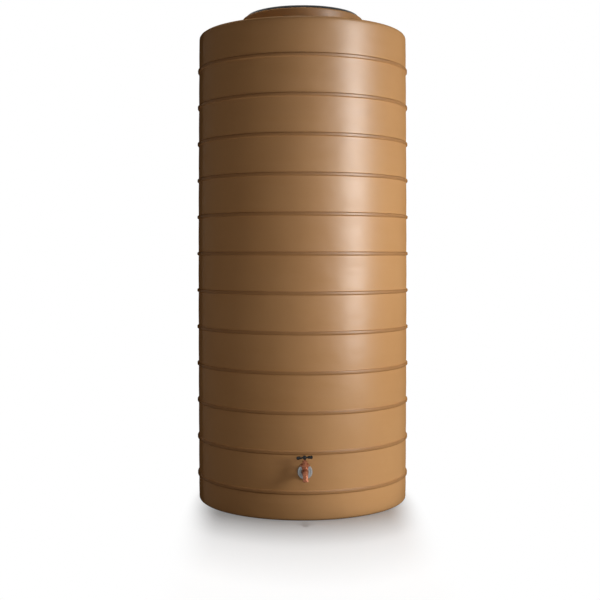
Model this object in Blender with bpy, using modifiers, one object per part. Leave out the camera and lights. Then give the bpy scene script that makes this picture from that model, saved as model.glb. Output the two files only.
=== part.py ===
"""Slimline rainwater tank: a ribbed moulded vessel with a screw lid, a bib tap and an overflow.

Metres, +Z up. The origin is the centre of the flat floor, on the tank's axis, and the tap
faces -Y.
"""
import math

import bmesh
import bpy
from mathutils import Matrix

# Fits
GAP = 0.0003            # between pieces that touch
RUNNING_GAP = 0.0003    # radial, between a turning piece and its bore
THREAD_FIT = 0.0003     # radial, between a screwed piece and its plain-drawn bore
SUNK = 0.001            # how far a ridge's root is buried in the wall that carries it
PAST = 0.002            # how far a cutter runs past the face that it opens

# Vessel
WALL_RADIUS = 0.4188    # outside, at the foot and the shoulder
WALL_BELLY = 0.0036     # added at mid height
SHELL_WALL = 0.0045
RIB_COUNT = 12
FIRST_RIB_HEIGHT = 0.104
RIB_PITCH = 0.1474
RIB_DEPTH = 0.0055
RIB_WIDTH = 0.022
RIB_CREST = 0.35        # share of the width that the crest takes
TOP_BAND = 0.1401       # from the last rib to the shoulder's edge
FOOT_ROUND = 0.009
SHOULDER_ROUND = 0.018
SHOULDER_RISE = 0.002   # from the shoulder's edge to the neck
THROAT_RADIUS = 0.209
THROAT_DEPTH = 0.046
NECK_LEDGE = 0.036      # from the throat out to the neck's wall
NECK_RADIUS = THROAT_RADIUS + NECK_LEDGE
NECK_RISE = 0.0705      # from the shoulder's height to the neck's top
NECK_ROUND = 0.006
NECK_ROOT_ROUND = 0.008

# Coarse thread of the throat and the lid
LID_PITCH = 0.014       # also the lid's rise for each turn
LID_THREAD_TURNS = 1.0
LID_THREAD_HEIGHT = 0.0035
LID_THREAD_ROOT = 0.007
LID_THREAD_CREST = 0.003
LID_THREAD_PLAY = 0.0015     # radial, between either ridge and the wall that it faces
THROAT_THREAD_DROP = 0.030   # from the neck's top to the start of the throat's ridge

# Lid
LID_INSET = 0.0155      # from the neck's wall in to the lid's edge
LID_RADIUS = NECK_RADIUS - LID_INSET
LID_WALL = 0.004
LID_RIM_HEIGHT = 0.0085
LID_RIM_ROUND = 0.004
LID_RIM_WIDTH = 0.008
LID_RIM_SLOPE = 0.004   # width of the slope from the rim down into the channel
LID_DOME = 0.016
LID_VALLEY = 0.003      # depth of the channel between rim and dome
LID_SKIRT_RADIUS = THROAT_RADIUS - LID_THREAD_HEIGHT - LID_THREAD_PLAY
LID_SKIRT_DEPTH = 0.042
DOME_INSET = 0.008      # from the skirt in to the dome's foot
LID_DOME_RADIUS = LID_SKIRT_RADIUS - DOME_INSET
LID_GRIP_COUNT = 6
LID_GRIP_WIDTH = 0.014
LID_GRIP_HEIGHT = 0.010
LID_GRIP_START = 0.034  # from the lid's axis
LID_HUB_RADIUS = 0.042
SEAL_THICKNESS = 0.003
SEAL_WIDTH = 0.018

# Flat seats moulded on the wall for the fittings
BOSS_PROUD = 0.002      # out of the wall, and as much inside it
BOSS_MARGIN = 0.004     # round the widest washer
BOSS_CHAMFER = 0.001

# Outlet
OUTLET_OFFSET = 0.0053  # above the middle of the band between the first two ribs
CONNECTOR_FLANGE_RADIUS = 0.028
CONNECTOR_FLANGE = 0.0042
CONNECTOR_EDGE = 0.0014            # round of the flange's outer edge
CONNECTOR_BARREL_RADIUS = 0.0175
CONNECTOR_GROOVE_INNER = 0.0165
CONNECTOR_GROOVE_OUTER = 0.0205
CONNECTOR_GROOVE_DEPTH = 0.0012
CONNECTOR_GROOVE_SLOPE = 0.0007
CONNECTOR_PAST_NUT = 0.003
GASKET = 0.002
GASKET_INSET = 0.001    # gasket's rim inside the flange's rim
OUTLET_NUT_FLATS = 0.046
OUTLET_NUT = 0.009
NUT_CHAMFER = 0.0016

# Tap, measured from the outlet's axis and the connector's face
TAP_LEAN = math.radians(2.2)       # the spindle leans towards -X
TAP_REACH = 0.037                  # from the connector's face to the spindle's axis
STEM_RADIUS = 0.0132
STEM_LENGTH = 0.018
STEM_CHAMFER = 0.001
INLET_BARREL_RADIUS = 0.0125
INLET_BARREL_TAPER = 0.001         # how much narrower the barrel is at the spindle's axis
INLET_BORE = 0.0058
CHAMBER_RADIUS = 0.0115
CHAMBER_BORE = 0.0090
CHAMBER_BOTTOM = -0.0125
CHAMBER_FLOOR = 0.0050
BODY_LIP_RADIUS = 0.0125
BODY_LIP = 0.004
BODY_LIP_SLOPE = 0.0016
BODY_TOP = 0.0255
SEAT_BORE = 0.0046
PASSAGE_DROP = -0.0032             # axis of the lower passage, under the seat
PASSAGE_FALLS_FROM = 0.0167        # behind the spindle's axis, where the passage leaves the stem's axis
PASSAGE_FALLS_TO = 0.0074
SPOUT_START_RADIUS = 0.0112
SPOUT_END_RADIUS = 0.0100
SPOUT_BEND = 0.015
SPOUT_RISE = 0.0090                # axis of the spout where it leaves the chamber
SPOUT_REACH = 0.024                # from the spindle's axis to the spout's mouth
SPOUT_MOUTH = -0.0235
SPOUT_LIP_RADIUS = 0.0112
SPOUT_LIP = 0.006
SPOUT_LIP_ROUND = 0.001
SPOUT_BORE = 0.0072
SPOUT_WAY_RADIUS = 0.0054

# Headpiece
BONNET_FLATS = 0.032
BONNET_SPIGOT = 0.008
BONNET_HEX = 0.0070
BONNET_CONE = 0.0055
BONNET_CONE_TOP_RADIUS = 0.0112
BONNET_NECK_RADIUS = 0.0085
BONNET_NECK = 0.0063
BONNET_WASHER = 0.0012
PACKING = 0.0045
PACKING_WIDTH = 0.0022
PACKING_POCKET = 0.008             # depth of its pocket in the bonnet's neck
GLAND_FLATS = 0.020
GLAND_NUT = 0.0090
GLAND_ROOF = 0.0028
GLAND_TOP_INSET = 0.0006           # the nut's flat top inside its flats
HEX_CHAMFER_DROP = 0.0018

# Moving pieces of the tap
SPINDLE_THREAD_RADIUS = 0.0052
SPINDLE_STEM_RADIUS = 0.0040
SPINDLE_END_RADIUS = 0.0032
SPINDLE_PITCH = 0.003              # rise for each turn
SPINDLE_TURNS = 1.25
SPINDLE_THREAD_CHAMFER = 0.0008
THREAD_TOP_CLEARANCE = 0.001       # left above the spindle's shoulder when the tap is open
HUB_CLEARANCE = 0.0020             # from the gland nut to the handle's hub when the tap is shut
JUMPER_RADIUS = 0.0070
JUMPER_DISC = 0.0020
JUMPER_STEM_RADIUS = 0.0021
JUMPER_STEM = 0.011
JUMPER_STUD_RADIUS = 0.0014
JUMPER_STUD_PAST_NUT = 0.0006
WASHER_THICKNESS = 0.0030
JUMPER_NUT_RADIUS = 0.0028
JUMPER_NUT_FLATS = 0.0050
JUMPER_NUT = 0.0020
HUB_WIDTH = 0.0140
HUB_HEIGHT = 0.0175
HUB_WALL_ABOVE_SPINDLE = 0.0025
HANDLE_LENGTH = 0.060
HANDLE_WAIST_RADIUS = 0.0028
HANDLE_END_RADIUS = 0.0063
HANDLE_END_ROUND = 0.0040
HANDLE_WAIST_START = 0.0063        # from the spindle's axis, inside the hub
HANDLE_TURN = math.radians(5)
SCREW_SHANK_RADIUS = 0.0013
SCREW_SHANK = 0.008
SCREW_HEAD_RADIUS = 0.0031
SCREW_HEAD = 0.0020
SCREW_HEAD_ROUND = 0.0010
SCREW_SLOT_WIDTH = 0.0008
SCREW_SLOT_DEPTH = 0.0009

# Overflow, at the back
OVERFLOW_FLANGE_RADIUS = 0.036
OVERFLOW_FLANGE = 0.005
OVERFLOW_EDGE = 0.0017
OVERFLOW_BARREL_RADIUS = 0.0245
OVERFLOW_BORE = 0.0205
OVERFLOW_SPIGOT = 0.040
OVERFLOW_CHAMFER = 0.0013
OVERFLOW_NUT_FLATS = 0.060
OVERFLOW_NUT = 0.010

# Facets round a full turn
SHELL_STEPS = 38        # puts the middle of a facet at the front and at the back, behind the fittings
FITTING_STEPS = 22
TAP_STEPS = 18
SMALL_STEPS = 12

# Heights that follow
LAST_RIB_HEIGHT = FIRST_RIB_HEIGHT + (RIB_COUNT - 1) * RIB_PITCH
SHOULDER_HEIGHT = LAST_RIB_HEIGHT + TOP_BAND
NECK_TOP = SHOULDER_HEIGHT + NECK_RISE
OUTLET_HEIGHT = FIRST_RIB_HEIGHT + RIB_PITCH / 2 + OUTLET_OFFSET
OVERFLOW_HEIGHT = (LAST_RIB_HEIGHT + RIB_WIDTH / 2 + SHOULDER_HEIGHT - SHOULDER_ROUND) / 2

MATERIALS = {
    "tank_plastic": ((0.27, 0.125, 0.052), 0.42, 0.0),
    "lid_plastic": ((0.012, 0.012, 0.013), 0.40, 0.0),
    "seal_rubber": ((0.020, 0.020, 0.020), 0.80, 0.0),
    "galvanised": ((0.50, 0.53, 0.56), 0.38, 0.9),
    "gunmetal": ((0.36, 0.115, 0.050), 0.33, 0.85),
    "handle_plastic": ((0.010, 0.011, 0.011), 0.18, 0.0),
    "tap_rubber": ((0.030, 0.028, 0.026), 0.75, 0.0),
    "fibre": ((0.33, 0.07, 0.045), 0.85, 0.0),
    "screw_steel": ((0.60, 0.60, 0.58), 0.30, 1.0),
    "overflow_plastic": ((0.014, 0.014, 0.015), 0.45, 0.0),
}


# Scene helpers

def clear_scene():
    for obj in list(bpy.data.objects):
        bpy.data.objects.remove(obj, do_unlink=True)


def new_collection(name):
    collection = bpy.data.collections.new(name)
    bpy.context.scene.collection.children.link(collection)
    return collection


def make_materials():
    made = {}
    for name, (colour, roughness, metallic) in MATERIALS.items():
        material = bpy.data.materials.new(name)
        material.use_nodes = True
        shader = material.node_tree.nodes["Principled BSDF"]
        shader.inputs["Base Color"].default_value = (*colour, 1.0)
        shader.inputs["Roughness"].default_value = roughness
        shader.inputs["Metallic"].default_value = metallic
        material.diffuse_color = (*colour, 1.0)
        made[name] = material
    return made


clear_scene()
TANK = new_collection("slimline_water_tank")
CUTTERS = new_collection("cutters")
LOOK = make_materials()


def add_frame(name, location, rotation=(0.0, 0.0, 0.0), parent=None):
    """An empty that carries a group of pieces on a common axis."""
    frame = bpy.data.objects.new(name, None)
    frame.empty_display_size = 0.03
    frame.location = location
    frame.rotation_euler = rotation
    frame.parent = parent
    TANK.objects.link(frame)
    return frame


def place(obj, material=None, parent=None):
    """Put a piece in the tank's collection, or, with no material, among the cutters."""
    if material:
        obj.data.materials.append(LOOK[material])
        TANK.objects.link(obj)
    else:
        obj.hide_render = True
        obj.display_type = "WIRE"
        CUTTERS.objects.link(obj)
    obj.parent = parent
    return obj


def mesh_object(name, bm):
    mesh = bpy.data.meshes.new(name)
    bm.to_mesh(mesh)
    bm.free()
    return bpy.data.objects.new(name, mesh)


def add_screw(obj, steps, angle=2 * math.pi, rise=0.0, merge=True):
    screw = obj.modifiers.new("turn", "SCREW")
    screw.axis = "Z"
    screw.angle = angle
    screw.screw_offset = rise
    screw.steps = steps
    screw.render_steps = steps
    screw.use_merge_vertices = merge
    screw.merge_threshold = 0.00001
    screw.use_smooth_shade = True


def profile_object(name, profile, closed):
    """A line of (radius, height) points in the XZ plane."""
    bm = bmesh.new()
    points = [bm.verts.new((radius, 0.0, height)) for radius, height in profile]
    for start, end in zip(points, points[1:]):
        bm.edges.new((start, end))
    if closed:
        bm.edges.new((points[-1], points[0]))
    return mesh_object(name, bm)


def turned(name, profile, steps, material=None, parent=None, closed=False):
    """A solid of revolution about Z. Its profile runs down the outer side and up the inner."""
    obj = profile_object(name, profile, closed)
    add_screw(obj, steps)
    return place(obj, material, parent)


def ring(name, outer, inner, low, high, steps, material=None, parent=None):
    section = [(outer, high), (outer, low), (inner, low), (inner, high)]
    return turned(name, section, steps, material, parent, closed=True)


def drill(name, stages, steps, parent):
    """A stepped round cutter: each stage, from the top down, is (radius, high, low).

    Half a facet's turn keeps its corners off the edges that it cuts."""
    profile = [(0, stages[0][1])]
    for radius, high, low in stages:
        profile += [(radius, high), (radius, low)]
    profile.append((0, stages[-1][2]))
    cutter = turned(name, profile, steps, parent=parent)
    cutter.rotation_euler.z = math.pi / steps
    return cutter


def hex_prism(name, flats, low, high, parent=None):
    bm = bmesh.new()
    corner = flats / 2 / math.cos(math.pi / 6)
    bmesh.ops.create_cone(bm, cap_ends=True, segments=6, radius1=corner, radius2=corner,
                          depth=high - low, matrix=Matrix.Translation((0, 0, (low + high) / 2)))
    return place(mesh_object(name, bm), None, parent)


def block(name, size, centre, parent=None):
    bm = bmesh.new()
    bmesh.ops.create_cube(bm, size=1.0, matrix=Matrix.Translation(centre) @ Matrix.Diagonal((*size, 1.0)))
    return place(mesh_object(name, bm), None, parent)


def combine(obj, operation, *tools):
    for tool in tools:
        boolean = obj.modifiers.new(tool.name, "BOOLEAN")
        boolean.operation = operation
        boolean.solver = "EXACT"
        boolean.object = tool


def evaluated_mesh(obj):
    bpy.context.view_layer.update()
    depsgraph = bpy.context.evaluated_depsgraph_get()
    return bpy.data.meshes.new_from_object(obj.evaluated_get(depsgraph))


def tube(name, points, radii, sides, parent):
    """A curved round bar with flat ends, as a mesh that can join or cut."""
    curve = bpy.data.curves.new(name, "CURVE")
    curve.dimensions = "3D"
    curve.bevel_depth = 1.0
    curve.bevel_resolution = sides // 2 - 2
    curve.use_fill_caps = True
    spline = curve.splines.new("POLY")
    spline.points.add(len(points) - 1)
    for point, place_at, radius in zip(spline.points, points, radii):
        point.co = (*place_at, 1.0)
        point.radius = radius
    guide = bpy.data.objects.new(name, curve)
    CUTTERS.objects.link(guide)
    mesh = evaluated_mesh(guide)
    bpy.data.objects.remove(guide, do_unlink=True)
    bm = bmesh.new()
    bm.from_mesh(mesh)
    bmesh.ops.remove_doubles(bm, verts=bm.verts, dist=0.00001)
    return place(mesh_object(name, bm), None, parent)


def helical_ridge(name, root, crest, start, parent=None):
    """A thread ridge of trapezium section whose middle starts at the given height on +X."""
    section = [(root, start + LID_THREAD_ROOT / 2), (crest, start + LID_THREAD_CREST / 2),
               (crest, start - LID_THREAD_CREST / 2), (root, start - LID_THREAD_ROOT / 2)]
    guide = profile_object(name, section, closed=True)
    add_screw(guide, round(SHELL_STEPS * LID_THREAD_TURNS), 2 * math.pi * LID_THREAD_TURNS,
              LID_PITCH * LID_THREAD_TURNS, merge=False)
    CUTTERS.objects.link(guide)
    mesh = evaluated_mesh(guide)
    bpy.data.objects.remove(guide, do_unlink=True)
    bm = bmesh.new()
    bm.from_mesh(mesh)
    bmesh.ops.holes_fill(bm, edges=bm.edges, sides=4)
    bmesh.ops.recalc_face_normals(bm, faces=bm.faces)
    return place(mesh_object(name, bm), None, parent)


def arc(centre_radius, centre_height, radius, start, end, pieces):
    """Points on a round, by angles in degrees from +X towards +Z."""
    points = []
    for index in range(pieces + 1):
        angle = math.radians(start + (end - start) * index / pieces)
        points.append((centre_radius + radius * math.cos(angle), centre_height + radius * math.sin(angle)))
    return points


# Vessel

def wall_radius(height):
    """Outside radius of the plain wall between ribs."""
    return WALL_RADIUS + WALL_BELLY * math.sin(math.pi * height / SHOULDER_HEIGHT)


def rib_points(height):
    """Rib section with a narrow crest, from its upper edge to its lower one."""
    points = []
    for share, depth in ((1, 0), (RIB_CREST, RIB_DEPTH), (-RIB_CREST, RIB_DEPTH), (-1, 0)):
        level = height + share * RIB_WIDTH / 2
        points.append((wall_radius(level) + depth, level))
    return points


def rib_heights():
    return [FIRST_RIB_HEIGHT + index * RIB_PITCH for index in range(RIB_COUNT)]


def shell_profile():
    """Section from the inside of the floor, up and out of the throat, and down to the floor's outside."""
    inner_neck = NECK_RADIUS - SHELL_WALL
    inner_throat = THROAT_RADIUS + SHELL_WALL
    foot_inside = WALL_RADIUS - SHELL_WALL
    inner_round = FOOT_ROUND + SHELL_WALL
    shoulder_inside = SHOULDER_HEIGHT - SHELL_WALL
    neck_level = SHOULDER_HEIGHT + SHOULDER_RISE
    points = [(0, SHELL_WALL)]
    points += arc(foot_inside - inner_round, SHELL_WALL + inner_round, inner_round, -90, 0, 2)
    for share in (0.3, 0.5, 0.7):
        level = share * SHOULDER_HEIGHT
        points.append((wall_radius(level) - SHELL_WALL, level))
    points += arc(foot_inside - SHOULDER_ROUND, shoulder_inside - SHOULDER_ROUND, SHOULDER_ROUND, 0, 90, 2)
    points.append((inner_neck, neck_level - SHELL_WALL))
    points.append((inner_neck, NECK_TOP - SHELL_WALL))
    points.append((inner_throat, NECK_TOP - SHELL_WALL))
    points.append((inner_throat, NECK_TOP - THROAT_DEPTH))
    points.append((THROAT_RADIUS, NECK_TOP - THROAT_DEPTH))
    points += arc(THROAT_RADIUS + SHELL_WALL / 2, NECK_TOP - SHELL_WALL / 2, SHELL_WALL / 2, 180, 90, 2)
    points += arc(NECK_RADIUS - NECK_ROUND, NECK_TOP - NECK_ROUND, NECK_ROUND, 90, 0, 2)
    points += arc(NECK_RADIUS + NECK_ROOT_ROUND, neck_level + NECK_ROOT_ROUND, NECK_ROOT_ROUND, 180, 270, 2)
    points += arc(WALL_RADIUS - SHOULDER_ROUND, SHOULDER_HEIGHT - SHOULDER_ROUND, SHOULDER_ROUND, 90, 0, 3)
    for height in reversed(rib_heights()):
        points += rib_points(height)
    points += arc(WALL_RADIUS - FOOT_ROUND, FOOT_ROUND, FOOT_ROUND, 0, -90, 2)
    points.append((0, 0))
    return points


def inside_face():
    """Where the inner side of a flat seat lies, from its outer side."""
    return -SHELL_WALL - 2 * BOSS_PROUD


def seat_boss(name, washer_radius, parent):
    """Disc moulded into the wall, flat on both sides."""
    radius = washer_radius + BOSS_MARGIN
    return turned(name, [(0, 0), (radius - BOSS_CHAMFER, 0), (radius, -BOSS_CHAMFER), (radius, inside_face()),
                         (0, inside_face())], FITTING_STEPS, parent=parent)


def wall_hole(name, barrel_radius, parent):
    return drill(name, [(barrel_radius + GAP, PAST, inside_face() - PAST)], FITTING_STEPS, parent)


def make_shell():
    shell = turned("tank_shell", shell_profile(), SHELL_STEPS, "tank_plastic")
    ridge = helical_ridge("throat_thread", THROAT_RADIUS + SUNK, THROAT_RADIUS - LID_THREAD_HEIGHT,
                          NECK_TOP - THROAT_THREAD_DROP)
    combine(shell, "UNION", ridge,
            seat_boss("outlet_boss", CONNECTOR_FLANGE_RADIUS, OUTLET),
            seat_boss("overflow_boss", OVERFLOW_FLANGE_RADIUS, OVERFLOW))
    combine(shell, "DIFFERENCE",
            wall_hole("outlet_hole", CONNECTOR_BARREL_RADIUS, OUTLET),
            wall_hole("overflow_hole", OVERFLOW_BARREL_RADIUS, OVERFLOW))


# Lid

def lid_profile(underside):
    """Dome, channel, rim, flange, skirt and the hollow underneath."""
    rim_top = underside + LID_RIM_HEIGHT
    dome_foot = rim_top - LID_VALLEY
    skirt_end = underside - SEAL_THICKNESS - 2 * GAP - LID_SKIRT_DEPTH
    skirt_inside = LID_SKIRT_RADIUS - LID_WALL
    points = [(0, rim_top + LID_DOME), (LID_HUB_RADIUS, rim_top + LID_DOME)]
    for share in (0.5, 1.0):
        reach = LID_HUB_RADIUS + share * (LID_DOME_RADIUS - LID_HUB_RADIUS)
        drop = (LID_DOME + LID_VALLEY) * math.sin(share * math.pi / 2) ** 2
        points.append((reach, rim_top + LID_DOME - drop))
    points.append((LID_RADIUS - LID_RIM_WIDTH - LID_RIM_SLOPE, dome_foot))
    points.append((LID_RADIUS - LID_RIM_WIDTH, rim_top))
    points += arc(LID_RADIUS - LID_RIM_ROUND, rim_top - LID_RIM_ROUND, LID_RIM_ROUND, 90, 0, 2)
    points += [(LID_RADIUS, underside), (LID_SKIRT_RADIUS, underside), (LID_SKIRT_RADIUS, skirt_end),
               (skirt_inside, skirt_end), (skirt_inside, dome_foot - LID_WALL)]
    points += [(LID_HUB_RADIUS, rim_top + LID_DOME - 2 * LID_WALL), (0, rim_top + LID_DOME - 2 * LID_WALL)]
    return points


def lid_grips(rim_top):
    """Radial ridges that a hand turns the lid by, from the hub to the dome's foot."""
    bm = bmesh.new()
    length = LID_DOME_RADIUS - LID_GRIP_START
    low = rim_top - LID_VALLEY - LID_WALL / 2
    high = rim_top + LID_GRIP_HEIGHT
    for index in range(LID_GRIP_COUNT):
        turn = Matrix.Rotation(2 * math.pi * index / LID_GRIP_COUNT, 4, "Z")
        move = Matrix.Translation((LID_GRIP_START + length / 2, 0, (low + high) / 2))
        bmesh.ops.create_cube(bm, size=1.0, matrix=turn @ move @ Matrix.Diagonal(
            (length, LID_GRIP_WIDTH, high - low, 1.0)))
    return place(mesh_object("lid_grips", bm))


def make_lid():
    seal_low = NECK_TOP + GAP
    underside = seal_low + SEAL_THICKNESS + GAP
    ring("lid_seal", LID_RADIUS - GAP, LID_RADIUS - SEAL_WIDTH, seal_low, seal_low + SEAL_THICKNESS,
         SHELL_STEPS, "seal_rubber")
    lid = turned("tank_lid", lid_profile(underside), SHELL_STEPS, "lid_plastic")
    ridge = helical_ridge("lid_thread", LID_SKIRT_RADIUS - SUNK, LID_SKIRT_RADIUS + LID_THREAD_HEIGHT,
                          NECK_TOP - THROAT_THREAD_DROP - LID_PITCH / 2)
    combine(lid, "UNION", ridge, lid_grips(underside + LID_RIM_HEIGHT))


# Fittings through the wall, in frames whose Z leaves the tank and whose origin is on the flat seat

def gasket(name, flange_radius, barrel_radius, low, parent):
    ring(name, flange_radius - GASKET_INSET, barrel_radius + GAP, low, low + GASKET, FITTING_STEPS,
         "seal_rubber", parent)


def back_nut(name, flats, barrel_radius, high, thickness, material, parent):
    """Hexagon nut whose outer edges are turned off at a chamfer."""
    corner = flats / 2 / math.cos(math.pi / 6)
    low = high - thickness
    nut = turned(name, [(corner, high), (corner, low + NUT_CHAMFER), (flats / 2, low),
                        (barrel_radius + THREAD_FIT, low), (barrel_radius + THREAD_FIT, high)],
                 FITTING_STEPS, material, parent, closed=True)
    combine(nut, "INTERSECT", hex_prism(name + "_flats", flats, low - thickness, high + thickness, parent))


def connector_face():
    return GAP + GASKET + GAP + CONNECTOR_FLANGE


def make_outlet():
    gasket("outlet_outer_gasket", CONNECTOR_FLANGE_RADIUS, CONNECTOR_BARREL_RADIUS, GAP, OUTLET)
    gasket("outlet_inner_gasket", OUTLET_NUT_FLATS / 2, CONNECTOR_BARREL_RADIUS,
           inside_face() - GAP - GASKET, OUTLET)
    nut_high = inside_face() - GAP - GASKET - GAP
    back_nut("outlet_backnut", OUTLET_NUT_FLATS, CONNECTOR_BARREL_RADIUS, nut_high, OUTLET_NUT,
             "galvanised", OUTLET)
    face = connector_face()
    back = face - CONNECTOR_FLANGE
    end = nut_high - OUTLET_NUT - CONNECTOR_PAST_NUT
    bore = STEM_RADIUS + THREAD_FIT
    groove = face - CONNECTOR_GROOVE_DEPTH
    turned("outlet_connector",
           [(bore, face), (CONNECTOR_GROOVE_INNER, face),
            (CONNECTOR_GROOVE_INNER + CONNECTOR_GROOVE_SLOPE, groove),
            (CONNECTOR_GROOVE_OUTER - CONNECTOR_GROOVE_SLOPE, groove), (CONNECTOR_GROOVE_OUTER, face)]
           + arc(CONNECTOR_FLANGE_RADIUS - CONNECTOR_EDGE, face - CONNECTOR_EDGE, CONNECTOR_EDGE, 90, 0, 2)
           + [(CONNECTOR_FLANGE_RADIUS, back), (CONNECTOR_BARREL_RADIUS, back),
              (CONNECTOR_BARREL_RADIUS, end), (bore, end)],
           FITTING_STEPS, "galvanised", OUTLET, closed=True)


def make_overflow():
    gasket("overflow_gasket", OVERFLOW_FLANGE_RADIUS, OVERFLOW_BARREL_RADIUS, GAP, OVERFLOW)
    nut_high = inside_face() - GAP
    back_nut("overflow_backnut", OVERFLOW_NUT_FLATS, OVERFLOW_BARREL_RADIUS, nut_high, OVERFLOW_NUT,
             "overflow_plastic", OVERFLOW)
    back = GAP + GASKET + GAP
    face = back + OVERFLOW_FLANGE
    mouth = face + OVERFLOW_SPIGOT
    end = nut_high - OVERFLOW_NUT - CONNECTOR_PAST_NUT
    turned("overflow_connector",
           [(OVERFLOW_BORE, mouth), (OVERFLOW_BARREL_RADIUS - OVERFLOW_CHAMFER, mouth),
            (OVERFLOW_BARREL_RADIUS, mouth - OVERFLOW_CHAMFER), (OVERFLOW_BARREL_RADIUS, face)]
           + arc(OVERFLOW_FLANGE_RADIUS - OVERFLOW_EDGE, face - OVERFLOW_EDGE, OVERFLOW_EDGE, 90, 0, 2)
           + [(OVERFLOW_FLANGE_RADIUS, back), (OVERFLOW_BARREL_RADIUS, back),
              (OVERFLOW_BARREL_RADIUS, end), (OVERFLOW_BORE, end)],
           FITTING_STEPS, "overflow_plastic", OVERFLOW, closed=True)


# Tap, in the spindle's frame: Z up the spindle, -Y away from the tank, origin on the inlet's axis

def spout_path(rise, mouth, pieces):
    """From the chamber, forward and round a bend to the mouth that faces down."""
    centre_y = -(SPOUT_REACH - SPOUT_BEND)
    centre_z = rise - SPOUT_BEND
    points = [(0, 0, rise)]
    for index in range(pieces + 1):
        angle = math.radians(90) * index / pieces
        points.append((0, centre_y - SPOUT_BEND * math.sin(angle), centre_z + SPOUT_BEND * math.cos(angle)))
    points.append((0, -SPOUT_REACH, mouth))
    return points


def tapered(start, end, count):
    return [start + (end - start) * index / (count - 1) for index in range(count)]


def tap_casting():
    """Chamber, inlet barrel with its stem, spout and lip, before the waterway is cut."""
    column = [(0, BODY_TOP), (BODY_LIP_RADIUS, BODY_TOP), (BODY_LIP_RADIUS, BODY_TOP - BODY_LIP),
              (CHAMBER_RADIUS, BODY_TOP - BODY_LIP - BODY_LIP_SLOPE)]
    column += arc(0, CHAMBER_BOTTOM + CHAMBER_RADIUS, CHAMBER_RADIUS, 0, -90, 4)
    body = turned("tap_body", column, TAP_STEPS, "gunmetal", SPINDLE)
    stem_end = -TAP_REACH - STEM_LENGTH
    barrel = turned("inlet_barrel",
                    [(0, 0), (INLET_BARREL_RADIUS - INLET_BARREL_TAPER, 0),
                     (INLET_BARREL_RADIUS, -CHAMBER_RADIUS),
                     (INLET_BARREL_RADIUS, -TAP_REACH + GAP), (STEM_RADIUS, -TAP_REACH + GAP),
                     (STEM_RADIUS, stem_end + STEM_CHAMFER),
                     (STEM_RADIUS - STEM_CHAMFER, stem_end), (0, stem_end)],
                    TAP_STEPS, parent=TAP)
    path = spout_path(SPOUT_RISE, SPOUT_MOUTH + SPOUT_LIP / 2, 5)
    spout = tube("spout", path, tapered(SPOUT_START_RADIUS, SPOUT_END_RADIUS, len(path)), 16, SPINDLE)
    lip = turned("spout_lip",
                 [(0, SPOUT_MOUTH + SPOUT_LIP), (SPOUT_LIP_RADIUS - SPOUT_LIP_ROUND, SPOUT_MOUTH + SPOUT_LIP),
                  (SPOUT_LIP_RADIUS, SPOUT_MOUTH + SPOUT_LIP - SPOUT_LIP_ROUND),
                  (SPOUT_LIP_RADIUS, SPOUT_MOUTH + SPOUT_LIP_ROUND),
                  (SPOUT_LIP_RADIUS - SPOUT_LIP_ROUND, SPOUT_MOUTH), (0, SPOUT_MOUTH)],
                 TAP_STEPS, parent=MOUTH)
    combine(body, "UNION", barrel, spout, lip)
    return body


def cut_waterway(body):
    """Inlet passage, seat, chamber and spout, one open way from stem to mouth."""
    chamber = drill("chamber_and_seat", [(CHAMBER_BORE, BODY_TOP + PAST, CHAMBER_FLOOR),
                                         (SEAT_BORE, CHAMBER_FLOOR, PASSAGE_DROP)], TAP_STEPS, SPINDLE)
    inlet_path = [(0, TAP_REACH + STEM_LENGTH + PAST, 0), (0, PASSAGE_FALLS_FROM, 0),
                  (0, PASSAGE_FALLS_TO, PASSAGE_DROP), (0, -SEAT_BORE, PASSAGE_DROP)]
    inlet = tube("inlet_bore", inlet_path, [INLET_BORE] * len(inlet_path), 12, SPINDLE)
    way_rise = CHAMBER_FLOOR + SPOUT_WAY_RADIUS + GAP
    path = spout_path(way_rise, SPOUT_MOUTH - PAST, 5)
    way = tube("spout_bore", path, tapered(SPOUT_WAY_RADIUS, SPOUT_BORE, len(path)), 12, SPINDLE)
    combine(body, "DIFFERENCE", chamber, inlet, way)


BONNET_LOW = BODY_TOP + GAP + BONNET_WASHER + GAP
BONNET_HEX_TOP = BONNET_LOW + BONNET_HEX
BONNET_CONE_TOP = BONNET_HEX_TOP + BONNET_CONE
BONNET_TOP = BONNET_CONE_TOP + GAP + BONNET_NECK
POCKET_RADIUS = SPINDLE_STEM_RADIUS + RUNNING_GAP + PACKING_WIDTH + GAP
POCKET_FLOOR = BONNET_TOP - PACKING_POCKET
GLAND_LOW = BONNET_CONE_TOP + GAP
GLAND_TOP = GLAND_LOW + GLAND_NUT
LIFT = SPINDLE_PITCH * SPINDLE_TURNS


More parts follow.
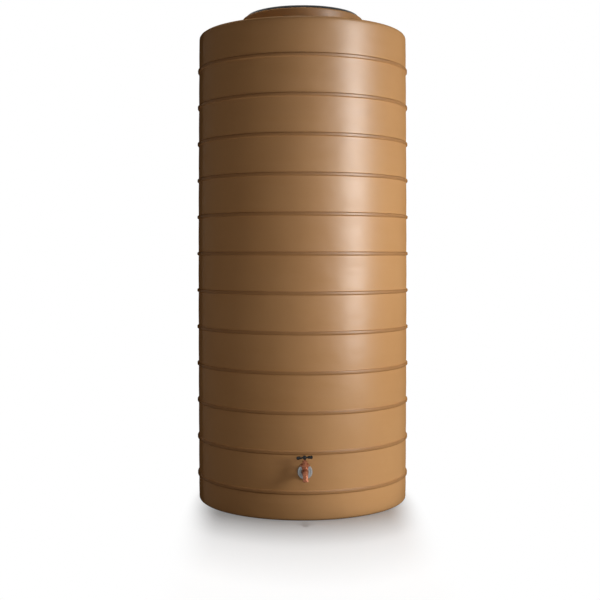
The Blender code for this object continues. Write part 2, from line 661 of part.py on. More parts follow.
def make_headpiece():
    corner = BONNET_FLATS / 2 / math.cos(math.pi / 6)
    thread_bore = SPINDLE_THREAD_RADIUS + RUNNING_GAP
    spigot = CHAMBER_BORE - THREAD_FIT
    bonnet = turned(
        "tap_bonnet",
        [(BONNET_NECK_RADIUS, BONNET_TOP), (BONNET_NECK_RADIUS, BONNET_CONE_TOP),
         (BONNET_CONE_TOP_RADIUS, BONNET_CONE_TOP), (BONNET_FLATS / 2, BONNET_HEX_TOP + HEX_CHAMFER_DROP / 2),
         (corner, BONNET_HEX_TOP - HEX_CHAMFER_DROP / 2), (corner, BONNET_LOW), (spigot, BONNET_LOW),
         (spigot, BONNET_LOW - BONNET_SPIGOT), (thread_bore, BONNET_LOW - BONNET_SPIGOT),
         (thread_bore, POCKET_FLOOR - THREAD_TOP_CLEARANCE),
         (SPINDLE_STEM_RADIUS + RUNNING_GAP, POCKET_FLOOR - THREAD_TOP_CLEARANCE),
         (SPINDLE_STEM_RADIUS + RUNNING_GAP, POCKET_FLOOR),
         (POCKET_RADIUS, POCKET_FLOOR), (POCKET_RADIUS, BONNET_TOP)],
        TAP_STEPS, "gunmetal", SPINDLE, closed=True)
    combine(bonnet, "INTERSECT",
            hex_prism("bonnet_flats", BONNET_FLATS, BONNET_LOW - BONNET_SPIGOT - PAST, BONNET_TOP + PAST,
                      SPINDLE))
    ring("bonnet_washer", BODY_LIP_RADIUS, CHAMBER_BORE + GAP, BODY_TOP + GAP, BONNET_LOW - GAP,
         TAP_STEPS, "fibre", SPINDLE)
    packing_low = POCKET_FLOOR + GAP
    ring("gland_packing", POCKET_RADIUS - GAP, SPINDLE_STEM_RADIUS + RUNNING_GAP, packing_low,
         packing_low + PACKING, SMALL_STEPS, "tap_rubber", SPINDLE)
    make_gland_nut(packing_low + PACKING + GAP)


def make_gland_nut(follower_low):
    """Cap over the bonnet's neck, with a follower that presses on the packing."""
    corner = GLAND_FLATS / 2 / math.cos(math.pi / 6)
    cap_bore = BONNET_NECK_RADIUS + THREAD_FIT
    roof_low = max(GLAND_TOP - GLAND_ROOF, BONNET_TOP + GAP)
    follower = POCKET_RADIUS - GAP
    stem_bore = SPINDLE_STEM_RADIUS + RUNNING_GAP
    nut = turned("gland_nut",
                 [(stem_bore, GLAND_TOP), (GLAND_FLATS / 2 - GLAND_TOP_INSET, GLAND_TOP),
                  (corner, GLAND_TOP - HEX_CHAMFER_DROP), (corner, GLAND_LOW), (cap_bore, GLAND_LOW),
                  (cap_bore, roof_low), (follower, roof_low), (follower, follower_low),
                  (stem_bore, follower_low)],
                 TAP_STEPS, "gunmetal", SPINDLE, closed=True)
    combine(nut, "INTERSECT",
            hex_prism("gland_flats", GLAND_FLATS, GLAND_LOW - PAST, GLAND_TOP + PAST, SPINDLE))


WASHER_LOW = CHAMBER_FLOOR + GAP
JUMPER_LOW = WASHER_LOW + WASHER_THICKNESS + GAP
JUMPER_TOP = JUMPER_LOW + JUMPER_DISC
SPINDLE_LOW = JUMPER_TOP + GAP
HUB_LOW = GLAND_TOP + HUB_CLEARANCE
HUB_MIDDLE = HUB_LOW + HUB_HEIGHT / 2
SPINDLE_TOP = HUB_MIDDLE + HUB_WALL_ABOVE_SPINDLE


def make_valve():
    """Loose jumper with its washer, which rises with the spindle but doesn't turn."""
    nut_high = WASHER_LOW - GAP
    nut_low = nut_high - JUMPER_NUT
    stud_low = nut_low - JUMPER_STUD_PAST_NUT
    turned("jumper_valve",
           [(0, JUMPER_TOP + JUMPER_STEM), (JUMPER_STEM_RADIUS, JUMPER_TOP + JUMPER_STEM),
            (JUMPER_STEM_RADIUS, JUMPER_TOP), (JUMPER_RADIUS, JUMPER_TOP), (JUMPER_RADIUS, JUMPER_LOW),
            (JUMPER_STUD_RADIUS, JUMPER_LOW), (JUMPER_STUD_RADIUS, stud_low), (0, stud_low)],
           SMALL_STEPS, "gunmetal", SPINDLE)
    ring("tap_washer", JUMPER_RADIUS, JUMPER_STUD_RADIUS + GAP, WASHER_LOW, WASHER_LOW + WASHER_THICKNESS,
         SMALL_STEPS, "tap_rubber", SPINDLE)
    nut = ring("jumper_nut", JUMPER_NUT_RADIUS, JUMPER_STUD_RADIUS + THREAD_FIT, nut_low, nut_high,
               SMALL_STEPS, "gunmetal", SPINDLE)
    combine(nut, "INTERSECT",
            hex_prism("jumper_nut_flats", JUMPER_NUT_FLATS, nut_low - PAST, nut_high + PAST, SPINDLE))


def make_spindle():
    thread_top = POCKET_FLOOR - 2 * THREAD_TOP_CLEARANCE - LIFT
    socket = JUMPER_STEM_RADIUS + RUNNING_GAP
    socket_top = JUMPER_TOP + JUMPER_STEM + GAP
    screw_bore = SCREW_SHANK_RADIUS + THREAD_FIT
    screw_end = SPINDLE_TOP - SCREW_SHANK
    spindle = turned("tap_spindle",
                     [(0, SPINDLE_TOP), (SPINDLE_END_RADIUS, SPINDLE_TOP), (SPINDLE_END_RADIUS, HUB_LOW - GAP),
                      (SPINDLE_STEM_RADIUS, HUB_LOW - GAP), (SPINDLE_STEM_RADIUS, thread_top),
                      (SPINDLE_THREAD_RADIUS, thread_top - SPINDLE_THREAD_CHAMFER),
                      (SPINDLE_THREAD_RADIUS, SPINDLE_LOW),
                      (0, SPINDLE_LOW)],
                     TAP_STEPS, "gunmetal", SPINDLE)
    combine(spindle, "DIFFERENCE",
            drill("jumper_socket", [(socket, socket_top, SPINDLE_LOW - PAST)], SMALL_STEPS, SPINDLE),
            drill("screw_bore", [(screw_bore, SPINDLE_TOP + PAST, screw_end)], SMALL_STEPS, SPINDLE))


def handle_arm_profile():
    """Both arms as one turned bar: round ends, a swelling behind each and a thin waist."""
    half = HANDLE_LENGTH / 2
    end_middle = half - HANDLE_END_ROUND
    points = []
    for angle in (90, 50, 15):
        turn = math.radians(angle)
        points.append((HANDLE_END_RADIUS * math.cos(turn), end_middle + HANDLE_END_ROUND * math.sin(turn)))
    swelling = HANDLE_END_RADIUS - HANDLE_WAIST_RADIUS
    for share in (0.2, 0.55, 1.0):
        radius = HANDLE_WAIST_RADIUS + swelling * math.cos(share * math.pi / 2) ** 2
        points.append((radius, end_middle - share * (end_middle - HANDLE_WAIST_START)))
    return points + [(radius, -height) for radius, height in reversed(points)]


def make_handle():
    hub_top = HUB_LOW + HUB_HEIGHT
    hub = []
    for angle in (90, 64, 38, 13, -13, -38, -64, -90):
        turn = math.radians(angle)
        hub.append((HUB_WIDTH / 2 * math.cos(turn), HUB_MIDDLE + HUB_HEIGHT / 2 * math.sin(turn)))
    hub[0] = (0, hub_top)
    hub[-1] = (0, HUB_LOW)
    handle = turned("tee_handle", hub, TAP_STEPS, "handle_plastic", HANDLE)
    arms = turned("handle_arms", handle_arm_profile(), SMALL_STEPS, parent=ARMS)
    head_seat = SPINDLE_TOP + HUB_WALL_ABOVE_SPINDLE
    combine(handle, "UNION", arms)
    combine(handle, "DIFFERENCE",
            drill("spindle_socket", [(SCREW_HEAD_RADIUS + GAP, hub_top + PAST, head_seat),
                                     (SCREW_SHANK_RADIUS + THREAD_FIT, head_seat, SPINDLE_TOP + GAP),
                                     (SPINDLE_END_RADIUS + THREAD_FIT, SPINDLE_TOP + GAP, HUB_LOW - PAST)],
                  SMALL_STEPS, HANDLE))
    make_handle_screw(head_seat + GAP)


def make_handle_screw(head_low):
    head_top = head_low + SCREW_HEAD
    shank_low = SPINDLE_TOP - SCREW_SHANK + GAP
    screw = turned("handle_screw",
                   [(0, head_top), (SCREW_HEAD_RADIUS - SCREW_HEAD_ROUND, head_top),
                    (SCREW_HEAD_RADIUS, head_top - SCREW_HEAD_ROUND), (SCREW_HEAD_RADIUS, head_low),
                    (SCREW_SHANK_RADIUS, head_low), (SCREW_SHANK_RADIUS, shank_low), (0, shank_low)],
                   SMALL_STEPS, "screw_steel", HANDLE)
    combine(screw, "DIFFERENCE",
            block("screw_slot", (2 * (SCREW_HEAD_RADIUS + PAST), SCREW_SLOT_WIDTH, 2 * SCREW_SLOT_DEPTH),
                  (0, 0, head_top), HANDLE))


# Frames of the fittings, then the pieces

QUARTER = math.pi / 2
OUTLET = add_frame("outlet_axis", (0, -wall_radius(OUTLET_HEIGHT) - BOSS_PROUD, OUTLET_HEIGHT), (QUARTER, 0, 0))
OVERFLOW = add_frame("overflow_axis", (0, wall_radius(OVERFLOW_HEIGHT) + BOSS_PROUD, OVERFLOW_HEIGHT),
                     (-QUARTER, 0, 0))
TAP = add_frame("tap_lean", (0, 0, connector_face() + TAP_REACH), (0, 0, TAP_LEAN), OUTLET)
SPINDLE = add_frame("spindle_axis", (0, 0, 0), (-QUARTER, 0, 0), TAP)
MOUTH = add_frame("spout_mouth_axis", (0, -SPOUT_REACH, 0), (0, 0, 0), SPINDLE)
HANDLE = add_frame("handle_turn", (0, 0, 0), (0, 0, HANDLE_TURN), SPINDLE)
ARMS = add_frame("handle_arm_axis", (0, 0, HUB_MIDDLE), (0, QUARTER, 0), HANDLE)

make_shell()
make_lid()
make_outlet()
make_overflow()
cut_waterway(tap_casting())
make_headpiece()
make_valve()
make_spindle()
make_handle()
bpy.context.view_layer.update()
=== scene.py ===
"""Looks of the slimline water tank: fine meshes over the CAD frame, materials, studio and camera.

Metres, in the frame of the CAD model: origin at the centre of the floor, +Z up, tap towards -Y.
"""
import math

import bmesh
import bpy
from mathutils import Matrix, Vector


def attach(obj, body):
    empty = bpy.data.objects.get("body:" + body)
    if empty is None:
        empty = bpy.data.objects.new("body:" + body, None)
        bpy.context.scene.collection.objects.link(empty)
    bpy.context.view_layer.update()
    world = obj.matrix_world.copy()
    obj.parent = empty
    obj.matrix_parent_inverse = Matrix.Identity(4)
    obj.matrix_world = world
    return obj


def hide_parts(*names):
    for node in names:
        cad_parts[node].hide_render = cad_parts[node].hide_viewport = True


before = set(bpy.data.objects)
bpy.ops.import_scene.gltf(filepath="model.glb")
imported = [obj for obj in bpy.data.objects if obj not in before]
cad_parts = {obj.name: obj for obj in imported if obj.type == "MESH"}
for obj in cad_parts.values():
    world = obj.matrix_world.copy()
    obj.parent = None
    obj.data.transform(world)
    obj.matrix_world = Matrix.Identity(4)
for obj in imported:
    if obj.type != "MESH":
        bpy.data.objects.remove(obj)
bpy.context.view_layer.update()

# Vessel and lid: the CAD model's sizes, with narrower ribs that lie a little lower towards the top
WALL_RADIUS = 0.4188
WALL_BELLY = 0.0036
SHELL_WALL = 0.0045
RIB_PITCH = 0.14705
RIB_HEIGHTS = [0.104 + RIB_PITCH * index for index in range(12)]
RIB_DEPTH = 0.0053
RIB_FOOT = 0.0078        # half of the rib's width at the wall
RIB_CREST = 0.0044       # half of its width at the crest
BAND_BULGE = 0.0007      # each band's middle stands proud of a straight wall
SHOULDER_HEIGHT = 1.8655
NECK_TOP = SHOULDER_HEIGHT + 0.0705
NECK_RADIUS = 0.245
THROAT_RADIUS = 0.209
THROAT_DEPTH = 0.046
LID_UNDERSIDE = NECK_TOP + 0.0036
LID_RIM_TOP = LID_UNDERSIDE + 0.0085
LID_RADIUS = 0.2295
LID_SKIRT = 0.204
LID_SKIRT_INSIDE = 0.200
LID_SKIRT_DEPTH = 0.042
LID_DOME = 0.196
LID_DOME_RISE = 0.016
LID_HUB = 0.042

# Fittings
OUTLET_HEIGHT = 0.183
OUTLET_SEAT = 0.421892   # from the tank's axis to the seat's face
OUTLET_HOLE = 0.0178
OVERFLOW_HEIGHT = 1.79195
OVERFLOW_SEAT = 0.421245
OVERFLOW_HOLE = 0.0248
GAP = 0.0003             # between pieces that touch
GASKET_TOP = 0.0023
FLANGE_LOW = 0.0026
CONNECTOR_FACE = 0.0068
TAP_LEAN = math.radians(2.2)
TAP_REACH = 0.037
FINE = 64                # facets round a fitting


def wall_radius(height):
    """Outside radius of the wall between ribs, with each band's slight bulge."""
    levels = [0.0] + RIB_HEIGHTS + [SHOULDER_HEIGHT]
    bulge = 0.0
    for low, high in zip(levels, levels[1:]):
        if low <= height <= high:
            bulge = BAND_BULGE * math.sin(math.pi * (height - low) / (high - low)) ** 2
    return WALL_RADIUS + WALL_BELLY * math.sin(math.pi * height / SHOULDER_HEIGHT) + bulge


# Frames of the fittings: Z leaves the tank, or runs up the spindle
QUARTER = math.pi / 2
OUTLET = Matrix.Translation((0, -OUTLET_SEAT, OUTLET_HEIGHT)) @ Matrix.Rotation(QUARTER, 4, "X")
OVERFLOW = Matrix.Translation((0, OVERFLOW_SEAT, OVERFLOW_HEIGHT)) @ Matrix.Rotation(-QUARTER, 4, "X")
TAP = OUTLET @ Matrix.Translation((0, 0, CONNECTOR_FACE + TAP_REACH)) @ Matrix.Rotation(TAP_LEAN, 4, "Z")
SPINDLE = TAP @ Matrix.Rotation(-QUARTER, 4, "X")
HANDLE = SPINDLE @ Matrix.Rotation(math.radians(5), 4, "Z")


# Mesh helpers

def rounded(corners, pieces=4):
    """Turn (radius, height, round) corners into profile points, with an arc at each round."""
    points = []
    count = len(corners)
    for index, (x, z, round_by) in enumerate(corners):
        here = Vector((x, z))
        if round_by <= 0:
            points.append(here)
            continue
        before = Vector(corners[(index - 1) % count][:2]) - here
        after = Vector(corners[(index + 1) % count][:2]) - here
        half = before.angle(after) / 2
        if half > math.radians(89):
            points.append(here)
            continue
        reach = min(round_by / math.tan(half), before.length * 0.49, after.length * 0.49)
        radius = reach * math.tan(half)
        centre = here + (before.normalized() + after.normalized()).normalized() * (radius / math.sin(half))
        start = here + before.normalized() * reach - centre
        turn = start.angle_signed(here + after.normalized() * reach - centre)
        for step in range(pieces + 1):
            angle = -turn * step / pieces
            points.append(centre + Vector((start.x * math.cos(angle) - start.y * math.sin(angle),
                                           start.x * math.sin(angle) + start.y * math.cos(angle))))
    return [(p.x, p.y) for p in points]


def lathe_mesh(profile, steps, closed=False):
    """Turned bmesh about Z from (radius, height) points; points on the axis close the ends."""
    bm = bmesh.new()
    rings = []
    for radius, height in profile:
        if abs(radius) < 1e-7:
            rings.append([bm.verts.new((0, 0, height))])
        else:
            rings.append([bm.verts.new((radius * math.cos(2 * math.pi * k / steps),
                                        radius * math.sin(2 * math.pi * k / steps), height))
                          for k in range(steps)])
    pairs = list(zip(rings, rings[1:]))
    if closed:
        pairs.append((rings[-1], rings[0]))
    for low, high in pairs:
        for k in range(steps):
            n = (k + 1) % steps
            face = [low[k % len(low)], low[n % len(low)], high[n % len(high)], high[k % len(high)]]
            face = [v for i, v in enumerate(face) if v not in face[:i]]
            if len(face) > 2:
                bm.faces.new(face)
    bmesh.ops.recalc_face_normals(bm, faces=bm.faces)
    return bm


def to_object(name, bm, matrix=None, smooth=40):
    if matrix is not None:
        bmesh.ops.transform(bm, matrix=matrix, verts=bm.verts)
    mesh = bpy.data.meshes.new(name)
    bm.to_mesh(mesh)
    bm.free()
    for polygon in mesh.polygons:
        polygon.use_smooth = True
    mesh.set_sharp_from_angle(angle=math.radians(smooth))
    obj = bpy.data.objects.new(name, mesh)
    bpy.context.scene.collection.objects.link(obj)
    return obj


def lathe(name, corners, steps, matrix=None, closed=False, pieces=4):
    return to_object(name, lathe_mesh(rounded(corners, pieces), steps, closed), matrix)


def tube_mesh(points, radii, sides):
    """Round bar along points in the YZ plane, with flat ends."""
    bm = bmesh.new()
    rings = []
    for index, (point, radius) in enumerate(zip(points, radii)):
        ahead = Vector(points[min(index + 1, len(points) - 1)])
        along = (ahead - Vector(points[max(index - 1, 0)])).normalized()
        across = Vector((1, 0, 0))
        up = along.cross(across)
        rings.append([bm.verts.new(Vector(point) + radius * (across * math.cos(2 * math.pi * k / sides)
                                                             + up * math.sin(2 * math.pi * k / sides)))
                      for k in range(sides)])
    for low, high in zip(rings, rings[1:]):
        for k in range(sides):
            bm.faces.new((low[k], low[(k + 1) % sides], high[(k + 1) % sides], high[k]))
    bm.faces.new(rings[0])
    bm.faces.new(rings[-1])
    bmesh.ops.recalc_face_normals(bm, faces=bm.faces)
    return bm


def prism_mesh(flats, low, high):
    bm = bmesh.new()
    corner = flats / 2 / math.cos(math.pi / 6)
    bmesh.ops.create_cone(bm, cap_ends=True, segments=6, radius1=corner, radius2=corner,
                          depth=high - low, matrix=Matrix.Translation((0, 0, (low + high) / 2)))
    return bm


def apply_modifiers(obj, smooth=None):
    depsgraph = bpy.context.evaluated_depsgraph_get()
    mesh = bpy.data.meshes.new_from_object(obj.evaluated_get(depsgraph))
    obj.modifiers.clear()
    old = obj.data
    obj.data = mesh
    bpy.data.meshes.remove(old)
    if smooth:
        for polygon in mesh.polygons:
            polygon.use_smooth = True
        mesh.set_sharp_from_angle(angle=math.radians(smooth))


def boolean(obj, operation, bm, matrix=None, smooth=40):
    tool = to_object(obj.name + "_tool", bm, matrix)
    modifier = obj.modifiers.new("cut", "BOOLEAN")
    modifier.operation = operation
    modifier.solver = "EXACT"
    modifier.object = tool
    apply_modifiers(obj, smooth)
    bpy.data.objects.remove(tool, do_unlink=True)


def fuse(name, parts, voxel, passes, matrix):
    """Join overlapping closed meshes into one casting with soft fillets."""
    whole = bmesh.new()
    for part in parts:
        mesh = bpy.data.meshes.new("part")
        part.to_mesh(mesh)
        part.free()
        whole.from_mesh(mesh)
        bpy.data.meshes.remove(mesh)
    obj = to_object(name, whole, matrix)
    remesh = obj.modifiers.new("fuse", "REMESH")
    remesh.mode = "VOXEL"
    remesh.voxel_size = voxel
    smooth = obj.modifiers.new("soften", "SMOOTH")
    smooth.factor = 0.5
    smooth.iterations = passes
    apply_modifiers(obj, 60)
    return obj


def bevel(obj, width, segments=2, angle=30, smooth=35):
    modifier = obj.modifiers.new("edge", "BEVEL")
    modifier.width = width
    modifier.segments = segments
    modifier.limit_method = "ANGLE"
    modifier.angle_limit = math.radians(angle)
    modifier.harden_normals = False
    apply_modifiers(obj, smooth)


# Materials

class Look:
    """A procedural material on a Principled shader, with a few short ways to add nodes."""

    def __init__(self, name, roughness, metallic=0.0, specular=0.5):
        self.material = bpy.data.materials.new(name)
        self.material.use_nodes = True
        self.tree = self.material.node_tree
        self.shader = self.tree.nodes["Principled BSDF"]
        self.shader.inputs["Roughness"].default_value = roughness
        self.shader.inputs["Metallic"].default_value = metallic
        self.shader.inputs["Specular IOR Level"].default_value = specular
        self.place = self.tree.nodes.new("ShaderNodeTexCoord").outputs["Object"]

    def node(self, kind, inputs=(), **settings):
        made = self.tree.nodes.new("ShaderNode" + kind)
        for key, value in settings.items():
            setattr(made, key, value)
        for key, value in dict(inputs).items():
            if isinstance(value, bpy.types.NodeSocket):
                self.tree.links.new(value, made.inputs[key])
            else:
                made.inputs[key].default_value = value
        return made

    def noise(self, scale, detail=3.0, roughness=0.5, stretch=(1, 1, 1)):
        place = self.place
        if stretch != (1, 1, 1):
            place = self.node("Mapping", {"Vector": place, "Scale": stretch}).outputs["Vector"]
        return self.node("TexNoise", {"Vector": place, "Scale": scale, "Detail": detail,
                                      "Roughness": roughness}).outputs["Fac"]

    def cells(self, scale):
        return self.node("TexVoronoi", {"Vector": self.place, "Scale": scale})

    def ramp(self, value, *stops):
        made = self.node("ValToRGB", {"Fac": value})
        elements = made.color_ramp.elements
        while len(elements) < len(stops):
            elements.new(0.5)
        for element, (place, colour) in zip(elements, stops):
            element.position = place
            element.color = (*colour, 1.0) if isinstance(colour, tuple) else (colour, colour, colour, 1.0)
        return made.outputs["Color"]

    def remap(self, value, low, high, start=0.3, end=0.7):
        return self.node("MapRange", {"Value": value, "From Min": start, "From Max": end,
                                      "To Min": low, "To Max": high}).outputs["Result"]

    def math(self, operation, a, b=0.0):
        return self.node("Math", {0: a, 1: b}, operation=operation).outputs[0]

    def mix(self, factor, a, b, blend="MIX"):
        made = self.node("Mix", data_type="RGBA", blend_type=blend)
        for index, value in ((0, factor), (6, a), (7, b)):
            if isinstance(value, bpy.types.NodeSocket):
                self.tree.links.new(value, made.inputs[index])
            elif isinstance(value, tuple):
                made.inputs[index].default_value = (*value, 1.0)
            else:
                made.inputs[index].default_value = value
        return made.outputs[2]

    def colour(self, socket):
        self.tree.links.new(socket, self.shader.inputs["Base Color"])

    def roughness(self, socket):
        self.tree.links.new(socket, self.shader.inputs["Roughness"])

    def bump(self, height, distance, strength=1.0, under=None):
        inputs = {"Height": height, "Distance": distance, "Strength": strength}
        if under is not None:
            inputs["Normal"] = under
        normal = self.node("Bump", inputs).outputs["Normal"]
        self.tree.links.new(normal, self.shader.inputs["Normal"])
        return normal


def tank_plastic():
    look = Look("tank_plastic", 0.47, specular=0.06)
    facing = look.node("LayerWeight", {"Blend": 0.5}).outputs["Facing"]
    look.tree.links.new(look.remap(facing, 0.06, 0.0, 0.20, 0.75), look.shader.inputs["Specular IOR Level"])
    blotch = look.noise(2.6, 4.0, 0.55)
    streak = look.noise(3.0, 5.0, 0.6, (1.0, 1.0, 9.0))
    grain = look.noise(420.0, 2.0, 0.5)
    tone = look.ramp(blotch, (0.30, (0.500, 0.258, 0.098)), (0.55, (0.530, 0.282, 0.112)),
                     (0.75, (0.548, 0.298, 0.122)))
    tone = look.mix(look.remap(streak, 0.0, 0.35), tone, (0.555, 0.300, 0.128))
    tone = look.mix(look.remap(grain, 0.0, 0.10, 0.35, 0.65), tone, (0.43, 0.215, 0.085))
    # Painted shade: the colour is darkened on each rib's crest and flanks, standing in for the dark lines of
    # shade along the ribs
    height = look.node("SeparateXYZ", {"Vector": look.place}).outputs["Z"]
    above = look.math("SUBTRACT", height, RIB_HEIGHTS[0] - RIB_PITCH / 2)
    share = look.math("FRACT", look.math("DIVIDE", above, RIB_PITCH))
    away = look.math("MULTIPLY", look.math("ABSOLUTE", look.math("SUBTRACT", share, 0.5)), RIB_PITCH)
    painted_rib_shade = look.math("MULTIPLY", look.remap(away, 0.90, 0.0, 0.0042, 0.0072),
                     look.math("LESS_THAN", height, RIB_HEIGHTS[-1] + RIB_PITCH / 2))
    # the painted rib shade's dark colour, mixed into the wall's tone
    tone = look.mix(painted_rib_shade, tone, (0.36, 0.180, 0.068))
    look.colour(tone)
    look.roughness(look.remap(streak, 0.43, 0.51))
    wave = look.bump(look.noise(7.0, 2.0, 0.5, (1.0, 1.0, 1.6)), 0.0030)
    look.bump(look.noise(330.0, 3.0, 0.5), 0.00010, 1.0, wave)
    return look.material


def black_plastic(name, roughness):
    look = Look(name, roughness)
    look.colour(look.ramp(look.noise(14.0, 4.0), (0.35, 0.011), (0.7, 0.019)))
    look.roughness(look.remap(look.noise(60.0, 3.0), roughness - 0.05, roughness + 0.08))
    look.bump(look.cells(700.0).outputs["Distance"], 0.00008)
    return look.material


def rubber(name, tone, roughness):
    look = Look(name, roughness, specular=0.3)
    look.colour(look.ramp(look.noise(90.0, 4.0), (0.3, tone * 0.75), (0.7, tone * 1.3)))
    look.bump(look.noise(1500.0, 2.0), 0.00006)
    return look.material


def galvanised():
    look = Look("galvanised", 0.36, 0.25, 0.4)
    spangle = look.cells(260.0)
    tone = look.ramp(spangle.outputs["Color"], (0.2, (0.33, 0.37, 0.385)), (0.8, (0.54, 0.585, 0.60)))
    look.colour(look.mix(look.remap(look.noise(120.0, 4.0), 0.0, 0.5), tone, (0.36, 0.38, 0.38)))
    look.roughness(look.remap(look.noise(300.0, 3.0), 0.28, 0.46))
    look.bump(look.noise(900.0, 2.0), 0.00005)
    return look.material


def gunmetal():
    look = Look("gunmetal", 0.32, 0.45, 0.4)
    patch = look.noise(110.0, 4.0, 0.6)
    tone = look.ramp(patch, (0.30, (0.25, 0.076, 0.034)), (0.52, (0.37, 0.122, 0.052)),
                     (0.72, (0.46, 0.172, 0.075)))
    tone = look.mix(look.remap(look.noise(480.0, 3.0), 0.0, 0.45, 0.45, 0.75), tone, (0.16, 0.048, 0.034))
    look.colour(tone)
    look.roughness(look.remap(look.noise(260.0, 3.0), 0.18, 0.34))
    look.bump(look.noise(700.0, 3.0), 0.00012)
    return look.material


def handle_plastic():
    look = Look("handle_plastic", 0.14, specular=0.25)
    look.colour(look.ramp(look.noise(70.0, 3.0), (0.35, 0.006), (0.7, 0.012)))
    look.roughness(look.remap(look.noise(240.0, 3.0), 0.10, 0.20))
    return look.material


def fibre():
    look = Look("fibre", 0.8, specular=0.25)
    look.colour(look.ramp(look.noise(600.0, 4.0), (0.3, (0.24, 0.045, 0.030)), (0.7, (0.38, 0.085, 0.055))))
    look.bump(look.noise(900.0, 3.0), 0.00010)
    return look.material


def screw_steel():
    look = Look("screw_steel", 0.26, 1.0)
    look.colour(look.ramp(look.noise(500.0, 3.0), (0.35, (0.52, 0.52, 0.50)), (0.7, (0.66, 0.66, 0.64))))
    look.roughness(look.remap(look.noise(900.0, 3.0), 0.18, 0.36))
    return look.material


LOOKS = {
    "tank_plastic": tank_plastic(),
    "lid_plastic": black_plastic("lid_plastic", 0.34),
    "seal_rubber": rubber("seal_rubber", 0.016, 0.72),
    "galvanised": galvanised(),
    "gunmetal": gunmetal(),
    "handle_plastic": handle_plastic(),
    "tap_rubber": rubber("tap_rubber", 0.026, 0.70),
    "fibre": fibre(),
    "screw_steel": screw_steel(),
    "overflow_plastic": black_plastic("overflow_plastic", 0.40),
}


def finish(obj, slot, body, *nodes):
    """Give a piece its material and body, and let it stand for CAD nodes."""
    obj.data.materials.clear()
    obj.data.materials.append(LOOKS[slot])
    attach(obj, body)
    if nodes:
        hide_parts(*nodes)


# Vessel

def shell_corners():
    """Whole section, from the floor's inside up through the throat and down the outside."""
    inner_neck = NECK_RADIUS - SHELL_WALL
    neck_level = SHOULDER_HEIGHT + 0.002
    throat_end = NECK_TOP - THROAT_DEPTH
    points = [(0, SHELL_WALL, 0), (WALL_RADIUS - SHELL_WALL, SHELL_WALL, 0.012)]
    for share in (0.25, 0.5, 0.75):
        level = share * SHOULDER_HEIGHT
        points.append((wall_radius(level) - SHELL_WALL - BAND_BULGE, level, 0))
    points += [(WALL_RADIUS - SHELL_WALL, SHOULDER_HEIGHT - SHELL_WALL, 0.016),
               (inner_neck, neck_level - SHELL_WALL, 0.003), (inner_neck, NECK_TOP - SHELL_WALL, 0.002),
               (THROAT_RADIUS + SHELL_WALL, NECK_TOP - SHELL_WALL, 0.002),
               (THROAT_RADIUS + SHELL_WALL, throat_end, 0.001), (THROAT_RADIUS, throat_end, 0.001),
               (THROAT_RADIUS, NECK_TOP, 0.003), (NECK_RADIUS, NECK_TOP, 0.006),
               (NECK_RADIUS, neck_level, 0.008), (0.37, neck_level - 0.0004, 0)]
    points.append((WALL_RADIUS, SHOULDER_HEIGHT, 0.018))
    levels = [SHOULDER_HEIGHT - 0.030]
    for height in reversed(RIB_HEIGHTS):
        levels += [height + 0.062, height + 0.045, height + 0.028, None, height - 0.028, height - 0.045]
    rib = iter(reversed(RIB_HEIGHTS))
    for level in levels:
        if level is None:
            middle = next(rib)
            edge = wall_radius(middle)
            points += [(wall_radius(middle + RIB_FOOT + 0.004), middle + RIB_FOOT + 0.004, 0),
                       (edge, middle + RIB_FOOT, 0.0016), (edge + RIB_DEPTH, middle + RIB_CREST, 0.0026),
                       (edge + RIB_DEPTH, middle - RIB_CREST, 0.0026), (edge, middle - RIB_FOOT, 0.0016),
                       (wall_radius(middle - RIB_FOOT - 0.004), middle - RIB_FOOT - 0.004, 0)]
        elif level > 0.03:
            points.append((wall_radius(level), level, 0))
    points += [(WALL_RADIUS, 0.020, 0), (WALL_RADIUS, 0, 0.009), (0, 0, 0)]
    return points


def make_shell():
    obj = lathe("shell_skin", shell_corners(), 288)
    low, high = -0.02, 0.004
    for frame_of, radius in ((OUTLET, OUTLET_HOLE), (OVERFLOW, OVERFLOW_HOLE)):
        boolean(obj, "DIFFERENCE", lathe_mesh([(0, low), (radius, low), (radius, high), (0, high)], 48),
                frame_of, 40)
    finish(obj, "tank_plastic", "tank", "tank_shell")


def make_seat(name, frame_of, hole, washer):
    """Flat seat moulded out of the round wall, blended into it all round."""
    blend, behind = 0.0025, 0.0085
    bm = bmesh.new()
    rings = []
    origin_y = frame_of.translation.y
    side = math.copysign(1.0, origin_y)
    reaches = [hole, washer] + [washer + blend * k / 6 for k in range(1, 7)]
    for reach in reaches:
        ring = []
        for k in range(FINE):
            angle = 2 * math.pi * k / FINE
            x, z = reach * math.cos(angle), frame_of.translation.z + reach * math.sin(angle)
            wall = math.sqrt(wall_radius(z) ** 2 - x * x) - 0.0003
            share = min(max((reach - washer) / blend, 0.0), 1.0)
            share = share * share * (3 - 2 * share)
            ring.append(bm.verts.new((x, side * (abs(origin_y) * (1 - share) + wall * share), z)))
        rings.append(ring)
    inner = [bm.verts.new((v.co.x, v.co.y - side * behind, v.co.z)) for v in rings[0]]
    for low, high in zip([inner] + rings, rings):
        for k in range(FINE):
            n = (k + 1) % FINE
            bm.faces.new((low[k], low[n], high[n], high[k]))
    bmesh.ops.recalc_face_normals(bm, faces=bm.faces)
    finish(to_object(name, bm), "tank_plastic", "tank")


# Lid

def grip_height(radius, angle):
    """Height of the six radial grips above the rim, at a place on the lid."""
    turn = (angle / (math.pi / 3) + 0.5) % 1.0 - 0.5
    across = abs(radius * math.sin(turn * math.pi / 3))
    width = 0.0070
    edge = min(max((width - across) / 0.004 + 0.5, 0.0), 1.0)
    start, fade = 0.030, 0.006
    along = min(max((LID_DOME - radius) / fade, 0.0), 1.0) * min(max((radius - start) / fade, 0.0), 1.0)
    return 0.0097 * edge * edge * (3 - 2 * edge) * along


